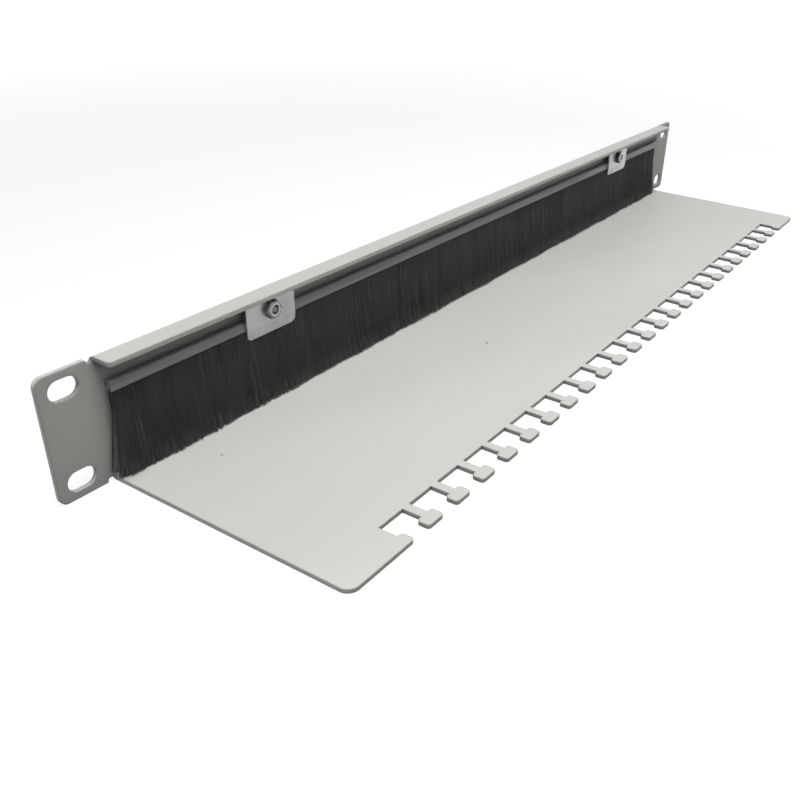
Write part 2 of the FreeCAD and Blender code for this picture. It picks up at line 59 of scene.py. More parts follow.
Span = tuple[float, float]
Triple = tuple[float, float, float]
Colour = Triple
Place = Triple
Socket = bpy.types.NodeSocket

RISING: Span = (0.0, 1.0)
FALLING: Span = (1.0, 0.0)
# The part of its range that nearly all of a noise's values fill, and a narrower
# one for mixes that show more of both ends.
NOISE_BODY: Span = (0.3, 0.7)
NOISE_MIDDLE: Span = (0.35, 0.65)


class Hand(Enum):
    """End of the panel that a clamp belongs to, as seen from the front."""

    LEFT = "left"
    RIGHT = "right"


class Face(Enum):
    """Side of the brush, with the places of its outermost filaments.

    Each value is (outermost, reach): 0 is the front of the brush and 1 its rear,
    and the filaments of that side lie between outermost and outermost + reach.
    """

    FRONT = (0.0, 0.22)
    REAR = (1.0, -0.30)


class Nodes:
    """Node tree of one new material, with short calls for what the finishes share."""

    def __init__(self, name: str) -> None:
        """Make the material and keep its shader and its place on the object.

        Args:
            name: name of the material.
        """
        self.material = bpy.data.materials.new(name)
        self.material.use_nodes = True
        self.tree = self.material.node_tree
        self.shader = self.tree.nodes["Principled BSDF"]
        self.place = self.add("ShaderNodeTexCoord").outputs["Object"]

    def add(self, kind: str, **settings: object) -> bpy.types.Node:
        """Add a node and set its own properties.

        Args:
            kind: kind of the node.
            settings: values of its properties, by name.

        Returns:
            The node.
        """
        node = self.tree.nodes.new(kind)
        for name, value in settings.items():
            setattr(node, name, value)
        return node

    def feed(self, socket: Socket, value: object) -> None:
        """Link a socket to a value that is one too, or set it to a plain value.

        Args:
            socket: input of a node.
            value: output of another node, or a plain value.
        """
        if isinstance(value, Socket):
            self.tree.links.new(value, socket)
        else:
            socket.default_value = value

    def stretched(self, stretch: Triple) -> Socket:
        """Place on the object, multiplied along each axis.

        Args:
            stretch: factors on X, Y and Z.

        Returns:
            The multiplied place.
        """
        node = self.add("ShaderNodeVectorMath", operation="MULTIPLY")
        self.feed(node.inputs[0], self.place)
        node.inputs[1].default_value = stretch
        return node.outputs[0]

    def noise(
        self, scale: float, detail: float = 2.0, stretch: Triple = (1.0, 1.0, 1.0)
    ) -> Socket:
        """Noise between 0 and 1.

        Args:
            scale: features to the metre.
            detail: finer octaves.
            stretch: factors on X, Y and Z.

        Returns:
            The noise's value.
        """
        node = self.add("ShaderNodeTexNoise")
        self.feed(node.inputs["Vector"], self.stretched(stretch))
        node.inputs["Scale"].default_value = scale
        node.inputs["Detail"].default_value = detail
        return node.outputs["Fac"]

    def remap(self, value: Socket, source: Span, target: Span) -> Socket:
        """Value moved from one range to another, and kept inside it.

        Args:
            value: value to move.
            source: range that it comes from.
            target: range that it goes to.

        Returns:
            The moved value.
        """
        node = self.add("ShaderNodeMapRange", clamp=True)
        self.feed(node.inputs["Value"], value)
        for name, number in zip(("From Min", "From Max", "To Min", "To Max"), source + target):
            node.inputs[name].default_value = number
        return node.outputs["Result"]

    def blend(self, factor: Socket, first: object, second: object) -> Socket:
        """Colour that goes from the first to the second as the factor rises.

        Args:
            factor: from 0 to 1.
            first: colour or colour socket at 0.
            second: colour or colour socket at 1.

        Returns:
            The mixed colour.
        """
        node = self.add("ShaderNodeMix", data_type="RGBA")
        self.feed(node.inputs[0], factor)
        for socket, colour in ((node.inputs[6], first), (node.inputs[7], second)):
            self.feed(socket, colour if isinstance(colour, Socket) else (*colour, 1.0))
        return node.outputs[2]

    def math(self, operation: str, first: object, second: object = 0.0) -> Socket:
        """Result of one Math node.

        Args:
            operation: what the node does.
            first: first number or socket.
            second: second number or socket.

        Returns:
            The result.
        """
        node = self.add("ShaderNodeMath", operation=operation)
        self.feed(node.inputs[0], first)
        self.feed(node.inputs[1], second)
        return node.outputs[0]

    def spot(self, centre: Place, radius: float) -> Socket:
        """Round mark about a point of the object.

        Args:
            centre: the point.
            radius: radius at which the mark has faded out.

        Returns:
            The mark: 1 in its inner half, 0 outside.
        """
        node = self.add("ShaderNodeVectorMath", operation="DISTANCE")
        self.feed(node.inputs[0], self.place)
        node.inputs[1].default_value = centre
        return self.remap(node.outputs["Value"], (0.5 * radius, radius), FALLING)

    def height(self) -> Socket:
        """Height on the object.

        Returns:
            The height in metres.
        """
        node = self.add("ShaderNodeSeparateXYZ")
        self.feed(node.inputs[0], self.place)
        return node.outputs["Z"]

    def shelter(self, reach: float, openness: Span, alone: bool = True) -> Socket:
        """How far a place is sheltered: 0 in the open, 1 in a deep corner.

        Args:
            reach: distance in metres that shelters it.
            openness: open shares of the surroundings at which it counts as 1 and as 0.
            alone: whether only its own piece shelters it.

        Returns:
            The shelter.
        """
        node = self.add("ShaderNodeAmbientOcclusion", samples=12, only_local=alone)
        node.inputs["Distance"].default_value = reach
        return self.remap(node.outputs["AO"], openness, FALLING)

    def relief(self, height: Socket, depth: float, edge: float = 0.0) -> None:
        """Give the surface a bump, on edges that look rounded.

        Args:
            height: bump from 0 to 1.
            depth: height of the bump in metres.
            edge: radius of the edges in metres, or 0 to leave them as they are.
        """
        bump = self.add("ShaderNodeBump")
        bump.inputs["Distance"].default_value = depth
        self.feed(bump.inputs["Height"], height)
        if edge:
            bevel = self.add("ShaderNodeBevel", samples=4)
            bevel.inputs["Radius"].default_value = edge
            self.feed(bump.inputs["Normal"], bevel.outputs["Normal"])
        self.feed(self.shader.inputs["Normal"], bump.outputs["Normal"])

    def steady(self, **numbers: float) -> None:
        """Set sockets of the shader that are the same all over, by their names."""
        for name, number in numbers.items():
            self.shader.inputs[name.replace("_", " ")].default_value = number


@dataclass(frozen=True)
class PowderCoat:
    """Light grey powder coat with a fine orange peel, a few specks of dirt and painted shade in its
    folds.
    """

    light: Colour = (0.690, 0.692, 0.668)
    shade: Colour = (0.655, 0.657, 0.630)
    dirt: Colour = (0.16, 0.14, 0.11)
    # colour of the painted shade in the coat's inside corners and under the flange
    coat_shade_tone: Colour = (0.110, 0.110, 0.107)
    cloud_scale: float = 9.0
    cloud_stretch: Triple = (1.0, 2.5, 1.0)
    grain_scale: float = 2600.0
    grain_share: float = 0.10
    # reach and openness of the painted shade in the corners and under the flange
    coat_shade_reach: float = 0.012
    coat_shade_openness: Span = (0.40, 0.88)
    fold_reach: float = 0.022
    fold_openness: Span = (0.60, 0.95)
    fold_height: Span = (9.0 * MILLIMETRE, 12.0 * MILLIMETRE)
    rough_scale: float = 120.0
    rough: Span = (0.46, 0.56)
    peel_scale: float = 950.0
    peel_depth: float = 0.00003
    edge: float = 0.0009
    rim_scale: float = 1800.0
    rim_source: Span = (0.3, 0.6)
    rim: Span = (0.35, 1.0)
    specks: tuple[Triple, ...] = (
        (0.06131, 0.04289, 0.0009),
        (0.19261, 0.01862, 0.0006),
    )

    def material(self, floor_height: float) -> bpy.types.Material:
        """Make the coat.

        Args:
            floor_height: height of the tray's upper face, where the specks lie.

        Returns:
            The material.
        """
        nodes = Nodes("powder_coat")
        clouds = nodes.noise(self.cloud_scale, 3.0, self.cloud_stretch)
        colour = nodes.blend(nodes.remap(clouds, NOISE_MIDDLE, RISING), self.light, self.shade)
        grain = nodes.remap(nodes.noise(self.grain_scale), NOISE_BODY, (0.0, self.grain_share))
        colour = nodes.blend(grain, colour, self.shade)
        ragged = nodes.remap(nodes.noise(self.rim_scale, 1.0), self.rim_source, self.rim)
        for x, y, radius in self.specks:
            mark = nodes.math("MULTIPLY", nodes.spot((x, y, floor_height), radius), ragged)
            colour = nodes.blend(mark, colour, self.dirt)
        # painted shade: the coat darkens in its inside corners and under the flange
        colour = nodes.blend(self.painted_coat_shade(nodes), colour, self.coat_shade_tone)
        nodes.feed(nodes.shader.inputs["Base Color"], colour)
        rough = nodes.remap(nodes.noise(self.rough_scale, 3.0), NOISE_BODY, self.rough)
        nodes.feed(nodes.shader.inputs["Roughness"], rough)
        nodes.steady(IOR=1.48, Specular_IOR_Level=0.2)
        nodes.relief(nodes.noise(self.peel_scale), self.peel_depth, self.edge)
        return nodes.material

    def painted_coat_shade(self, nodes: Nodes) -> Socket:
        """Painted shade in the inside corners, and further out of the one under the flange.

        Args:
            nodes: node tree of the coat.

        Returns:
            The painted shade, from 0 to 1.
        """
        under_flange = nodes.remap(nodes.height(), self.fold_height, RISING)
        fold = nodes.shelter(self.fold_reach, self.fold_openness)
        corners = nodes.shelter(self.coat_shade_reach, self.coat_shade_openness)
        return nodes.math("MAXIMUM", corners, nodes.math("MULTIPLY", fold, under_flange))


@dataclass(frozen=True)
class ZincPlate:
    """Zinc plating, faintly brushed, with painted shade in the corners of small pieces."""

    name: str = "zinc_plate"
    light: Colour = (0.53, 0.53, 0.53)
    shade: Colour = (0.45, 0.45, 0.45)
    smooth: float = 0.30
    rough: float = 0.44
    # painted shade where other pieces crowd close
    zinc_shade_tone: Colour = (0.05, 0.05, 0.05)
    zinc_shade_reach: float = 0.0
    zinc_shade_openness: Span = (0.45, 0.95)
    cloud_scale: float = 160.0
    line_scale: float = 700.0
    line_stretch: Triple = (0.35, 1.0, 4.0)
    line_depth: float = 0.00001
    edge: float = 0.00012

    def material(self) -> bpy.types.Material:
        """Make the plating.

        Returns:
            The material.
        """
        nodes = Nodes(self.name)
        clouds = nodes.remap(nodes.noise(self.cloud_scale, 3.0), NOISE_MIDDLE, RISING)
        colour = nodes.blend(clouds, self.light, self.shade)
        # painted shade where other pieces come close
        if self.zinc_shade_reach:
            zinc_shade_mask = nodes.shelter(self.zinc_shade_reach, self.zinc_shade_openness, alone=False)
            colour = nodes.blend(zinc_shade_mask, colour, self.zinc_shade_tone)
        nodes.feed(nodes.shader.inputs["Base Color"], colour)
        lines = nodes.noise(self.line_scale, 3.0, self.line_stretch)
        rough = nodes.remap(lines, NOISE_BODY, (self.smooth, self.rough))
        nodes.feed(nodes.shader.inputs["Roughness"], rough)
        nodes.steady(Metallic=1.0)
        nodes.relief(lines, self.line_depth, self.edge)
        return nodes.material


@dataclass(frozen=True)
class HolderStrip:
    """Dull galvanised strip: painted shadow darkens its wall upwards, and painted light lifts its
    rolled top.
    """

    light: Colour = (0.235, 0.235, 0.235)
    shade: Colour = (0.200, 0.200, 0.200)
    # painted shadow of the flange on the upper wall
    back: Colour = (0.150, 0.150, 0.148)
    turn: Span = (11.1 * MILLIMETRE, 12.9 * MILLIMETRE)
    # painted light on the rolled top, which lies in shade under the flange
    strip_top_light: Colour = (0.50, 0.50, 0.49)
    strip_top_light_span: Span = (12.8 * MILLIMETRE, 13.4 * MILLIMETRE)
    drawn_scale: float = 240.0
    drawn_stretch: Triple = (0.12, 1.0, 3.0)
    drawn_depth: float = 0.00002
    rough: Span = (0.42, 0.58)
    edge: float = 0.0001

    def material(self) -> bpy.types.Material:
        """Make the strip.

        Returns:
            The material.
        """
        nodes = Nodes("holder_strip")
        drawn = nodes.noise(self.drawn_scale, 3.0, self.drawn_stretch)
        wall = nodes.blend(nodes.remap(drawn, NOISE_BODY, RISING), self.light, self.shade)
        # painted shadow of the flange up the wall, then painted light on the rolled top
        for span, colour in ((self.turn, self.back), (self.strip_top_light_span, self.strip_top_light)):
            wall = nodes.blend(nodes.remap(nodes.height(), span, RISING), wall, colour)
        nodes.feed(nodes.shader.inputs["Base Color"], wall)
        rough = nodes.remap(drawn, NOISE_BODY, self.rough)
        nodes.feed(nodes.shader.inputs["Roughness"], rough)
        nodes.steady(Metallic=0.7)
        nodes.relief(drawn, self.drawn_depth, self.edge)
        return nodes.material


@dataclass(frozen=True)
class BlackFilament:
    """Black nylon filament, each strand a little lighter or darker than the next, with painted
    shade towards the tips.
    """

    light: Colour = (0.118, 0.118, 0.117)
    shade: Colour = (0.109, 0.109, 0.108)
    # painted shade near the tray, where the tips gather
    tip: Colour = (0.040, 0.040, 0.039)
    tip_shade_height: float = -20.4 * MILLIMETRE
    tip_shade_reach: float = 22.0 * MILLIMETRE
    strand_scale: float = 1500.0
    strand_stretch: Triple = (1.0, 1.0, 0.03)
    rough_scale: float = 300.0
    rough: Span = (0.50, 0.65)
    nap_scale: float = 4000.0
    nap_stretch: Triple = (1.0, 1.0, 0.05)
    nap_depth: float = 0.00002

    def material(self) -> bpy.types.Material:
        """Make the filament.

        Returns:
            The material.
        """
        nodes = Nodes("black_filament")
        strands = nodes.noise(self.strand_scale, 1.0, self.strand_stretch)
        tone = nodes.blend(nodes.remap(strands, NOISE_BODY, RISING), self.shade, self.light)
        # painted shade: the strands darken towards their tips at the tray
        span = (self.tip_shade_height, self.tip_shade_height + self.tip_shade_reach)
        above = nodes.remap(nodes.height(), span, RISING)
        nodes.feed(nodes.shader.inputs["Base Color"], nodes.blend(above, self.tip, tone))
        rough = nodes.remap(nodes.noise(self.rough_scale), NOISE_BODY, self.rough)
        nodes.feed(nodes.shader.inputs["Roughness"], rough)
        nodes.steady(IOR=1.5, Specular_IOR_Level=0.35)
        nodes.relief(nodes.noise(self.nap_scale, 1.0, self.nap_stretch), self.nap_depth)
        return nodes.material


@dataclass(frozen=True)
class PaleFloor:
    """Matt floor that the camera and reflections see as nearly white, with shadow on it."""

    tone: Colour = (0.12, 0.12, 0.12)
    glow: Span = (0.86, 1.0)
    fade: Span = (0.40, 0.85)
    shaded: Colour = (0.22, 0.22, 0.22)

    def material(self) -> bpy.types.Material:
        """Make the floor: a plain tone for the light it sends on, near white to look at.

        Returns:
            The material.
        """
        nodes = Nodes("pale_floor")
        tree = nodes.tree
        plain = nodes.add("ShaderNodeBsdfDiffuse")
        plain.inputs["Color"].default_value = (*self.tone, 1.0)
        seen = nodes.add("ShaderNodeBsdfDiffuse")
        seen.inputs["Color"].default_value = (*self.shaded, 1.0)
        glow = nodes.add("ShaderNodeEmission")
        away = nodes.add("ShaderNodeVectorMath", operation="LENGTH")
        nodes.feed(away.inputs[0], nodes.place)
        strength = nodes.remap(away.outputs["Value"], self.fade, self.glow)
        nodes.feed(glow.inputs["Strength"], strength)
        together = nodes.add("ShaderNodeAddShader")
        nodes.feed(together.inputs[0], seen.outputs[0])
        nodes.feed(together.inputs[1], glow.outputs[0])
        rays = nodes.add("ShaderNodeLightPath").outputs
        looked_at = nodes.math("MAXIMUM", rays["Is Camera Ray"], rays["Is Glossy Ray"])
        looked_at = nodes.math("MAXIMUM", looked_at, rays["Is Transmission Ray"])
        switch = nodes.add("ShaderNodeMixShader")
        for socket, value in zip(switch.inputs, (looked_at, plain.outputs[0], together.outputs[0])):
            nodes.feed(socket, value)
        tree.links.new(switch.outputs[0], tree.nodes["Material Output"].inputs["Surface"])
        return nodes.material


def dress(piece: bpy.types.Object, material: bpy.types.Material) -> None:
    """Give a piece one material and nothing else."""
    piece.data.materials.clear()
    piece.data.materials.append(material)


def make_piece(
    name: str, vertices: np.ndarray, faces: list[list[int]], smooth: bool
) -> bpy.types.Object:
    """Mesh object in the scene.

    Args:
        name: name of the piece.
        vertices: one row of X, Y and Z for each vertex.
        faces: corners of each face.
        smooth: whether its faces are shaded smooth.

    Returns:
        The object.
    """
    mesh = bpy.data.meshes.new(name)
    mesh.from_pydata(vertices.tolist(), [], faces)
    mesh.update()
    mesh.polygons.foreach_set("use_smooth", [smooth] * len(mesh.polygons))
    piece = bpy.data.objects.new(name, mesh)
    bpy.context.scene.collection.objects.link(piece)
    return piece


def grid_faces(rows: int, columns: int, closed: bool = False) -> list[list[int]]:
    """Faces of a grid whose rows are closed rings of vertices.

    Args:
        rows: rings.
        columns: vertices of one ring.
        closed: whether the last ring is joined to the first one.

    Returns:
        Corners of each face.
    """
    index = np.arange(rows * columns).reshape(rows, columns)
    if closed:
        index = np.concatenate([index, index[:1]])
    after = np.roll(index, -1, axis=1)
    quads = np.stack([index[:-1], after[:-1], after[1:], index[1:]], axis=-1)
    return quads.reshape(-1, 4).tolist()


def end_caps(rows: int, columns: int) -> list[list[int]]:
    """The two faces that close such a grid at its first and last rings."""
    return [list(range(columns))[::-1], list(range((rows - 1) * columns, rows * columns))]


def stand_in(piece: bpy.types.Object, node: str) -> None:
    """Let a piece ride on the body and take the place of a CAD node.

    Args:
        piece: the piece.
        node: the node that it replaces.
    """
    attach(piece, BODY)
    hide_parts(node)


@dataclass
class FoldedPanel:
    """Folded sheet with its ears, flange, tray and lacing edge: the CAD node, powder coated."""

    coat: PowderCoat
    gauge: float = 1.6 * MILLIMETRE

    def build(self) -> None:
        """Dress the sheet in its coat."""
        low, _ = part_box("panel")
        dress(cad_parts["panel"], self.coat.material(low.z + self.gauge))


@dataclass
class ClampSet:
    """Clamp plate, welded stud and nut at one end of the brush.

    The plate is satin zinc. The nut's end face has a painted highlight, and the rest of
    the nut and the stud painted shade, from lit and shaded copies of the zinc. The end
    face is ring number highlight_ring of the nut's rings of faces.
    """

    hand: Hand
    zinc: bpy.types.Material
    # lit copy of the zinc, for the painted highlight on the nut's end face
    bright: bpy.types.Material
    # shaded copy of the zinc, for painted shade on the nut's sides and the stud
    shaded_zinc: bpy.types.Material
    bore: float = 1.5 * MILLIMETRE
    sink: float = 0.33 * MILLIMETRE
    face: float = 2.55 * MILLIMETRE
    bevel_slope: float = 0.5
    nut_around: int = 96
    highlight_ring: int = 3
    thread_pitch: float = 0.5 * MILLIMETRE
    thread_depth: float = 0.27 * MILLIMETRE
    tip: float = 0.4 * MILLIMETRE
    around: int = 40
    to_a_turn: int = 8

    def build(self) -> None:
        """Dress the plate, cut a thread on the stud and turn the nut on it."""
        dress(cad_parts[f"clamp_plate_{self.hand.value}"], self.zinc)
        self.thread()
        self.nut()

    def nut(self) -> bpy.types.Object:
        """Hexagon nut with a turned end face, in place of the plain one.

        Returns:
            The nut.
        """
        node = f"nut_{self.hand.value}"
        low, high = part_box(node)
        turn = np.linspace(0.0, 2.0 * math.pi, self.nut_around, endpoint=False)
        hexagon = (high.z - low.z) / 2 / np.cos(turn % (math.pi / 3) - math.pi / 6)
        ones = np.ones(self.nut_around)
        shoulder = high.y - self.bevel_slope * (hexagon - self.face)
        rings = (
            (self.bore * ones, low.y * ones),
            (hexagon, low.y * ones),
            (hexagon, shoulder),
            (self.face * ones, high.y * ones),
            ((self.bore + self.sink) * ones, high.y * ones),
            (self.bore * ones, (high.y - self.sink) * ones),
        )
        points = np.concatenate([
            np.stack([
                (low.x + high.x) / 2 - reach * np.cos(turn),
                depth,
                (low.z + high.z) / 2 + reach * np.sin(turn),
            ], axis=-1)
            for reach, depth in rings
        ])
        faces = grid_faces(len(rings), self.nut_around, closed=True)
        nut = make_piece(f"turned_nut_{self.hand.value}", points, faces, smooth=False)
        # painted shade on the nut's sides, painted highlight on its end face
        dress(nut, self.shaded_zinc)
        nut.data.materials.append(self.bright)
        ring = np.arange(len(nut.data.polygons)) // self.nut_around
        highlighted = (ring == self.highlight_ring).astype(np.int32)
        nut.data.polygons.foreach_set("material_index", highlighted)
        stand_in(nut, node)
        return nut

    def thread(self) -> bpy.types.Object:
        """Threaded stud in place of the plain one.

        Returns:
            The stud.
        """
        node = f"weld_stud_{self.hand.value}"
        low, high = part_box(node)
        radius = (high.x - low.x) / 2
        length = high.y - low.y
        rows = round(length / self.thread_pitch * self.to_a_turn) + 1
        along, turn = np.meshgrid(
            np.linspace(0.0, length, rows),
            np.linspace(0.0, 1.0, self.around, endpoint=False),
            indexing="ij",
        )
        phase = (along / self.thread_pitch + turn) % 1.0
        crest = radius - self.thread_depth * np.abs(2.0 * phase - 1.0)
        chamfer = radius - self.tip + (length - along)
        reach = np.minimum(crest, chamfer)
        angle = 2.0 * math.pi * turn
        points = np.stack([
            (low.x + high.x) / 2 + reach * np.sin(angle),
            low.y + along,
            (low.z + high.z) / 2 + reach * np.cos(angle),
        ], axis=-1).reshape(-1, 3)
        faces = grid_faces(rows, self.around) + end_caps(rows, self.around)
        stud = make_piece(f"threaded_stud_{self.hand.value}", points, faces, smooth=False)
        # painted shade on the stud
        dress(stud, self.shaded_zinc)
        stand_in(stud, node)
        return stud


@dataclass
class StripBrush:
    """Strip brush: the holder, the wire in its back and the loose filaments.

    The filaments hang between the holder and the tray. Their depth in the brush
    runs from 0 at the front to 1 at the rear. The packing is what fills its
    middle, and the strays are the few filaments that stick out.
    """

    filament: bpy.types.Material
    strip: bpy.types.Material
    zinc: bpy.types.Material
    thickness: float = 0.24 * MILLIMETRE
    to_a_millimetre: float = 10.0
    root_height: float = 9.0 * MILLIMETRE
    fan_height: float = 3.5 * MILLIMETRE
    fan_power: float = 1.1
    tray_height: float = -20.4 * MILLIMETRE
    root_front: float = 0.80 * MILLIMETRE
    root_rear: float = 2.00 * MILLIMETRE
    tip_front: float = 0.55 * MILLIMETRE
    tip_rear: float = 5.75 * MILLIMETRE
    depth_power: float = 1.5
    bundle: float = 3.0 * MILLIMETRE
    gather: float = 0.22
    end_zone: float = 13.0 * MILLIMETRE
    left_gap: float = 5.0 * MILLIMETRE
    left_lean: float = 3.0 * MILLIMETRE
    right_lean: float = 4.6 * MILLIMETRE
    front_lean: float = 0.25
    lean_range: Span = (0.7, 1.12)
    tuft: float = 0.8 * MILLIMETRE
    tuft_depth: float = 0.5
    tuft_lean: float = 3.0 * MILLIMETRE
    tuft_range: Span = (0.85, 1.05)
    tuft_rise: float = 1.5 * MILLIMETRE
    corner: float = 5.0 * MILLIMETRE
    corner_tuck: float = 0.5
    waves: tuple[Triple, ...] = ((0.30, 7.5, 1.1), (0.22, 3.1, 0.0), (0.14, 1.27, 2.0))
    rear_scatter: float = 0.12 * MILLIMETRE
    side_scatter: float = 0.30 * MILLIMETRE
    curl_shape: float = 1.5
    curl_scale: float = 0.16 * MILLIMETRE
    curl_power: int = 12
    tip_lift: float = 0.12 * MILLIMETRE
    tip_scatter: float = 0.3 * MILLIMETRE
    stray_share: float = 0.02
    stray_curl: Span = (0.3, 1.1)
    stray_scatter: float = 2.0 * MILLIMETRE
    strand_turn: float = 0.35
    strand_taper: float = 0.7
    packing_depths: Span = (0.16, 0.80)
    packing_step: float = 0.5
    packing_levels: int = 9
    packing_lift: float = 0.4 * MILLIMETRE
    flute: float = 0.15 * MILLIMETRE
    levels: int = 5
    seed: int = 7
    half: float = field(init=False)
    random: np.random.Generator = field(init=False)

    def __post_init__(self) -> None:
        """Take the brush's half length from the CAD model and start the random draws."""
        low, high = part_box("bristles")
        self.half = (high.x - low.x) / 2
        self.random = np.random.default_rng(self.seed)

    def build(self) -> None:
        """Dress the holder and the wire, and hang the filaments."""
        dress(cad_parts["brush_channel"], self.strip)
        dress(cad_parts["core_wire"], self.zinc)
        pieces = [self.packing()]
        pieces += [self.filaments(face) for face in Face]
        for piece in pieces:
            dress(piece, self.filament)
            stand_in(piece, "bristles")
            LOG.info("%s: %d faces", piece.name, len(piece.data.polygons))

    def fan(self, height: np.ndarray) -> np.ndarray:
        """How far the brush has fanned out at a height: 0 above, 1 at the tray."""
        drop = (self.fan_height - height) / (self.fan_height - self.tray_height)
        return np.clip(drop, 0.0, 1.0) ** self.fan_power

    def wander(self, x: np.ndarray) -> np.ndarray:
        """Slow waves of the brush's rear face along the panel, at the tray.

        Args:
            x: places along the panel.

        Returns:
            How far the rear face lies behind its mean.
        """
        millimetres = x / MILLIMETRE
        waves = sum(
            size * np.sin(millimetres / length + phase) for size, length, phase in self.waves
        )
        return waves * MILLIMETRE

    def lean(self, x: np.ndarray, depth: np.ndarray) -> np.ndarray:
        """How far the tips lean to the right near the two ends of the brush.

        Args:
            x: places along the panel.
            depth: depth in the brush, where the rear leans the most.

        Returns:
            The lean.
        """
        inside = np.clip((np.abs(x) - self.half + self.end_zone) / self.end_zone, 0.0, 1.0)
        most = np.where(x > 0.0, self.right_lean, self.left_lean)
        return most * inside ** 2 * (self.front_lean + (1.0 - self.front_lean) * depth)

    def reach(self, x: np.ndarray) -> np.ndarray:
        """Share of the brush's depth that its tips reach: less at the right corner."""
        inside = np.clip((x - self.half + self.corner) / self.corner, 0.0, 1.0)
        return 1.0 - self.corner_tuck * inside ** 2

    def roots(self, depth: np.ndarray) -> np.ndarray:
        """How far behind the plate the filaments of a depth leave the holder."""
        return self.root_front + depth * (self.root_rear - self.root_front)

    def tips(self, x: np.ndarray, depth: np.ndarray) -> np.ndarray:
        """How far behind the plate the filaments of a place and a depth end."""
        return self.tip_front + depth * self.reach(x) * (self.tip_rear - self.tip_front)

    def packing(self) -> bpy.types.Object:
        """Tightly packed filaments inside the brush, which no light passes.

        Returns:
            A closed sheet with shallow flutes, a little inside the loose filaments.
        """
        left, right = self.left_gap - self.half, self.half
        columns = round((right - left) / (self.packing_step * self.bundle)) + 1
        x = np.linspace(left + self.bundle / 6, right - self.bundle / 3, columns)
        foot = self.tray_height + self.packing_lift
        heights = np.linspace(self.root_height, foot, self.packing_levels)
        flute = self.flute * self.random.uniform(-1.0, 1.0, columns)
        rings = []
        for depth, order in zip(self.packing_depths, (1, -1)):
            for height in heights[::order]:
                open_ = self.fan(height)
                root = self.roots(depth)
                y = root + (self.tips(x, depth) - root) * open_ + flute * open_ * depth
                across = x + self.lean(x, depth) * open_
                rings.append(np.stack([across, y, np.full(columns, height)], axis=-1))
        points = np.stack(rings, axis=1).reshape(-1, 3)
        faces = grid_faces(columns, len(rings)) + end_caps(columns, len(rings))
        return make_piece("filament_packing", points, faces, smooth=True)

    def filaments(self, face: Face) -> bpy.types.Object:
        """Loose filaments on one side of the brush.

        Args:
            face: side of the brush.

        Returns:
            One mesh of three-sided strands that taper to their tips.
        """
        left, right = self.left_gap - self.half, self.half
        count = round((right - left) / MILLIMETRE * self.to_a_millimetre)
        random = self.random
        x = np.linspace(left + self.thickness, right - self.thickness, count)
        outermost, reach = face.value
        depth = outermost + reach * random.uniform(0.0, 1.0, count) ** self.depth_power
        rear = np.clip(depth, 0.0, 1.0)
        root_y = self.roots(rear)
        scatter = random.normal(0.0, self.rear_scatter, count)
        tip_y = self.tips(x, rear) + rear * (self.wander(x) + scatter)
        centre = np.round(x / self.bundle) * self.bundle
        tip_x = self.gather * (centre - x) + random.normal(0.0, self.side_scatter, count)
        tip_x = tip_x + self.lean(x, rear) * random.uniform(*self.lean_range, count)
        tuft = (x > right - self.tuft) * (rear < self.tuft_depth)
        tip_x = tip_x + tuft * self.tuft_lean * random.uniform(*self.tuft_range, count)
        curl = rear * random.gamma(self.curl_shape, self.curl_scale, count)
        rise = np.abs(random.normal(0.0, self.tip_scatter, count))
        tip_z = self.tray_height + self.tip_lift + rise + tuft * self.tuft_rise
        strays = random.uniform(0.0, 1.0, count) < self.stray_share
        curl = curl + strays * rear * random.uniform(*self.stray_curl, count) * MILLIMETRE
        tip_x = tip_x + strays * random.normal(0.0, self.stray_scatter, count)
        paths = np.zeros((count, self.levels, 3))
        for level, part in enumerate(np.linspace(0.0, 1.0, self.levels)):
            height = self.root_height + (tip_z - self.root_height) * part
            open_ = self.fan(height)
            paths[:, level, 0] = x + tip_x * open_
            paths[:, level, 1] = root_y + (tip_y - root_y) * open_ + curl * part ** self.curl_power
            paths[:, level, 2] = height
        return self.strands(f"filaments_{face.name.lower()}", paths)

    def strands(self, name: str, paths: np.ndarray) -> bpy.types.Object:
        """Three-sided strands along paths.

        Args:
            name: name of the piece.
            paths: points, as strands by levels by three.

        Returns:
            The piece.
        """
        count, levels, sides = paths.shape
        turn = self.random.uniform(-self.strand_turn, self.strand_turn, (count, 1, 1)) + math.pi / 2
        angle = turn + np.arange(sides).reshape(1, 1, sides) * 2.0 * math.pi / sides
        taper = np.linspace(1.0, self.strand_taper, levels).reshape(1, levels, 1)
        radius = 0.5 * self.thickness * taper
        across, along = radius * np.cos(angle), radius * np.sin(angle)
        ring = np.stack([across, along, np.zeros_like(across)], axis=-1)
        points = (paths[:, :, None, :] + ring).reshape(-1, 3)
        index = np.arange(count * levels * sides).reshape(count, levels, sides)
        after = np.roll(index, -1, axis=2)
        quads = np.stack([index[:, :-1], index[:, 1:], after[:, 1:], after[:, :-1]], axis=-1)
        faces = quads.reshape(-1, 4).tolist() + index[:, -1, :].tolist()
        return make_piece(name, points, faces, smooth=True)


@dataclass(frozen=True)
class Lamp:
    """Oblong soft lamp: it faces straight down, and its turn in degrees tips it over."""

    name: str
    power: float
    size: Span
    place: Place
    turn: Span = (0.0, 0.0)
    spread: float = 180.0

    def build(self) -> None:
        """Hang the lamp."""
        data = bpy.data.lights.new(self.name, "AREA")
        data.shape = "RECTANGLE"
        data.size, data.size_y = self.size
        data.spread = math.radians(self.spread)
        data.energy = self.power
        lamp = bpy.data.objects.new(self.name, data)
        lamp.location = self.place
        lamp.rotation_euler = (math.radians(self.turn[0]), math.radians(self.turn[1]), 0.0)
        bpy.context.scene.collection.objects.link(lamp)


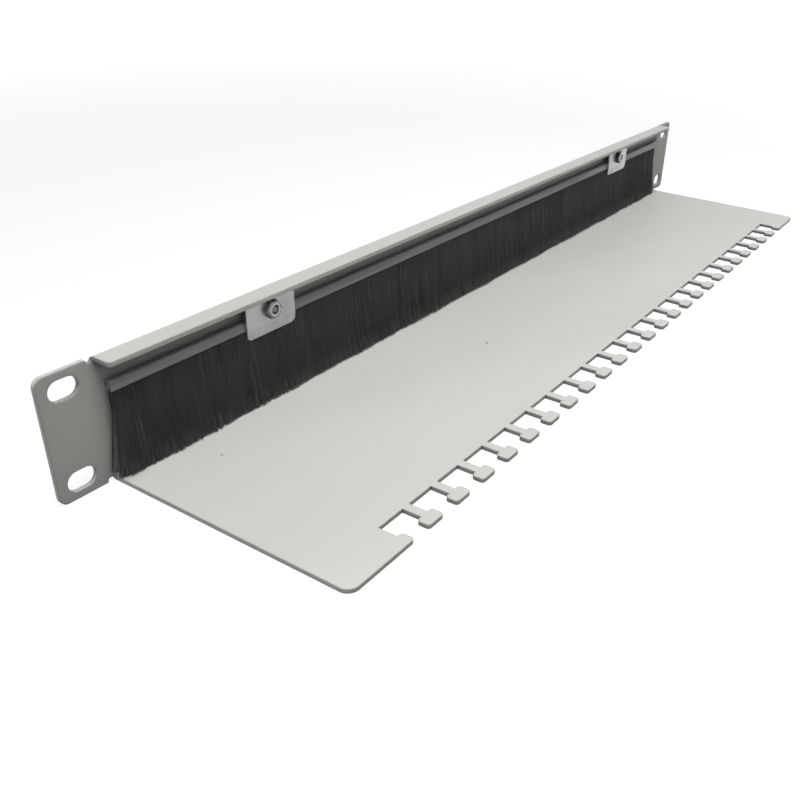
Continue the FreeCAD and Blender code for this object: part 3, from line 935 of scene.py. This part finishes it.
@dataclass
class Studio:
    """Plain pale floor, a dim surround, a long soft lamp overhead and low ones round it."""

    floor: PaleFloor
    floor_size: float = 14.0
    surround: float = 0.05
    white: tuple[float, float, float, float] = (1.0, 1.0, 1.0, 1.0)
    lamps: tuple[Lamp, ...] = (
        Lamp("overhead_lamp", 7.2, (2.4, 0.4), (0.72, 0.29, 1.28), spread=66.0),
        Lamp("front_lamp", 11.0, (1.8, 0.24), (0.0, -1.5, 0.11), turn=(90.0, 0.0)),
        Lamp("right_lamp", 3.7, (0.24, 1.2), (2.0, 0.05, 0.11), turn=(0.0, 90.0)),
        Lamp("left_lamp", 3.7, (0.24, 1.2), (-2.0, 0.05, 0.11), turn=(0.0, -90.0)),
    )

    def build(self) -> None:
        """Lay the floor, light the surround and place the lamps."""
        self.lay_floor()
        self.light_surround()
        for lamp in self.lamps:
            lamp.build()

    def lay_floor(self) -> None:
        """Lay the floor under the panel."""
        low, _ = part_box("panel")
        half = self.floor_size / 2
        signs = ((-1, -1), (1, -1), (1, 1), (-1, 1))
        corners = np.array([(across * half, along * half, low.z) for across, along in signs])
        floor = make_piece("floor", corners, [[0, 1, 2, 3]], smooth=False)
        dress(floor, self.floor.material())

    def light_surround(self) -> None:
        """World that lights plainly, and looks white to the camera and in reflections."""
        world = bpy.data.worlds.new("surround")
        world.use_nodes = True
        bpy.context.scene.world = world
        tree = world.node_tree
        plain = tree.nodes["Background"]
        plain.inputs["Color"].default_value = self.white
        plain.inputs["Strength"].default_value = self.surround
        bright = tree.nodes.new("ShaderNodeBackground")
        bright.inputs["Color"].default_value = self.white
        rays = tree.nodes.new("ShaderNodeLightPath")
        seen = rays.outputs["Is Camera Ray"]
        for kind in ("Is Glossy Ray", "Is Transmission Ray"):
            either = tree.nodes.new("ShaderNodeMath")
            either.operation = "MAXIMUM"
            tree.links.new(seen, either.inputs[0])
            tree.links.new(rays.outputs[kind], either.inputs[1])
            seen = either.outputs[0]
        switch = tree.nodes.new("ShaderNodeMixShader")
        for socket, value in zip(switch.inputs, (seen, plain.outputs[0], bright.outputs[0])):
            tree.links.new(value, socket)
        tree.links.new(switch.outputs[0], tree.nodes["World Output"].inputs["Surface"])


@dataclass
class PhotoCamera:
    """Camera where the photograph's stood, fitted to the edges of the panel.

    The angles are in degrees. The focal length and the optical centre are in
    pixels of a square picture.
    """

    place: Place = (0.363576, 0.221453, 0.143587)
    azimuth: float = 121.512
    elevation: float = 30.179
    roll: float = 2.688
    focal_length: float = 884.364
    centre: Span = (470.088, 421.818)
    picture: float = 800.0
    sensor: float = 36.0
    clip: Span = (0.01, 100.0)

    def build(self) -> None:
        """Make the camera that the scene is seen through."""
        across, up = math.radians(self.azimuth), math.radians(self.elevation)
        back = Vector((
            math.sin(across) * math.cos(up),
            -math.cos(across) * math.cos(up),
            math.sin(up),
        ))
        data = bpy.data.cameras.new("photo_camera")
        data.sensor_width = self.sensor
        data.lens = self.focal_length / self.picture * self.sensor
        data.shift_x = (self.picture / 2 - self.centre[0]) / self.picture
        data.shift_y = (self.centre[1] - self.picture / 2) / self.picture
        data.clip_start, data.clip_end = self.clip
        camera = bpy.data.objects.new("photo_camera", data)
        camera.location = self.place
        camera.rotation_mode = "QUATERNION"
        turn = Quaternion((0.0, 0.0, 1.0), math.radians(self.roll))
        camera.rotation_quaternion = (-back).to_track_quat("-Z", "Y") @ turn
        bpy.context.scene.collection.objects.link(camera)
        bpy.context.scene.camera = camera


def main() -> None:
    """Build the panel, the brush, the clamps, the studio and the camera, in that order."""
    logging.basicConfig(level=logging.INFO)
    bpy.context.scene.view_settings.view_transform = "Standard"
    zinc = ZincPlate().material()
    # lit and shaded copies of the zinc: painted highlight and painted shade on the nuts and studs
    bright = ZincPlate(
        "painted_highlight_zinc",
        light=(0.60, 0.60, 0.59),
        shade=(0.50, 0.50, 0.49),
        smooth=0.14,
        rough=0.24,
    ).material()
    shaded_zinc = ZincPlate(
        "painted_shade_zinc",
        light=(0.27, 0.27, 0.27),
        shade=(0.20, 0.20, 0.20),
        smooth=0.22,
        rough=0.34,
        zinc_shade_reach=0.0035,
    ).material()
    parts = {
        "folded panel": FoldedPanel(PowderCoat()),
        "strip brush": StripBrush(BlackFilament().material(), HolderStrip().material(), zinc),
        "left clamp": ClampSet(Hand.LEFT, zinc, bright, shaded_zinc),
        "right clamp": ClampSet(Hand.RIGHT, zinc, bright, shaded_zinc),
        "studio": Studio(PaleFloor()),
        "camera": PhotoCamera(),
    }
    for name, part in parts.items():
        part.build()
        LOG.info("built the %s", name)


if __name__ == "__main__":
    main()
